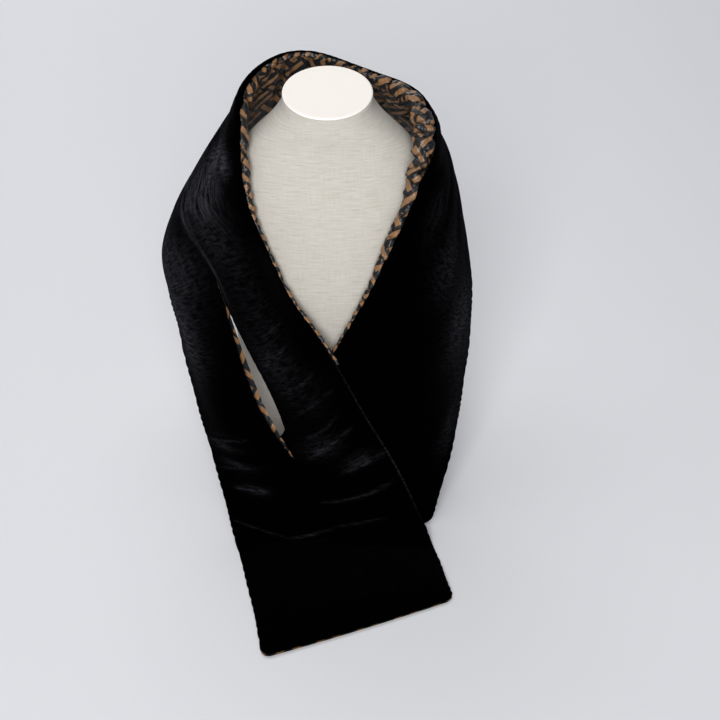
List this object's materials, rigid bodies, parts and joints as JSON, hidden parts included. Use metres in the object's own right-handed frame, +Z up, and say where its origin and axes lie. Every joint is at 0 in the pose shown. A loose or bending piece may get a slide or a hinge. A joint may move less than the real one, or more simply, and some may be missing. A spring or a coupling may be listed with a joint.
{
  "type": "puffer scarf on a display bust",
  "caption": "Padded velvet pull-through scarf with a printed lining and a gathered neck edge, laid over a linen display bust.",
  "frame": {"origin": "centre of the bust's underside, on the table", "axes": "+Z up, -Y towards the viewer that the bust faces, +X to that viewer's right"},
  "size_m": [0.3602, 0.5328, 0.4855],
  "materials": {
    "black_velvet": "crushed velvet, deep black with a soft grey sheen",
    "printed_lining": "smooth satin lining, printed tan on charcoal",
    "natural_linen": "plain-woven natural linen with slubs",
    "cap_cloth": "fine cream cloth pulled over a disc"
  },
  "bodies": {
    "root": {"bust_body": "natural_linen", "bust_cap": "cap_cloth", "velvet_plain_end": "black_velvet", "velvet_neck": "black_velvet", "velvet_left_shoulder": "black_velvet", "velvet_slot_inner_half": "black_velvet", "velvet_slot_outer_half": "black_velvet", "velvet_slotted_end": "black_velvet", "lining_plain_end": "printed_lining", "lining_neck": "printed_lining", "lining_left_shoulder": "printed_lining", "lining_slot_inner_half": "printed_lining", "lining_slot_outer_half": "printed_lining", "lining_slotted_end": "printed_lining", "gathered_edge_plain_end": "printed_lining", "gathered_edge_neck": "printed_lining", "gathered_edge_slotted_end": "printed_lining"}
  },
  "joints": []
}
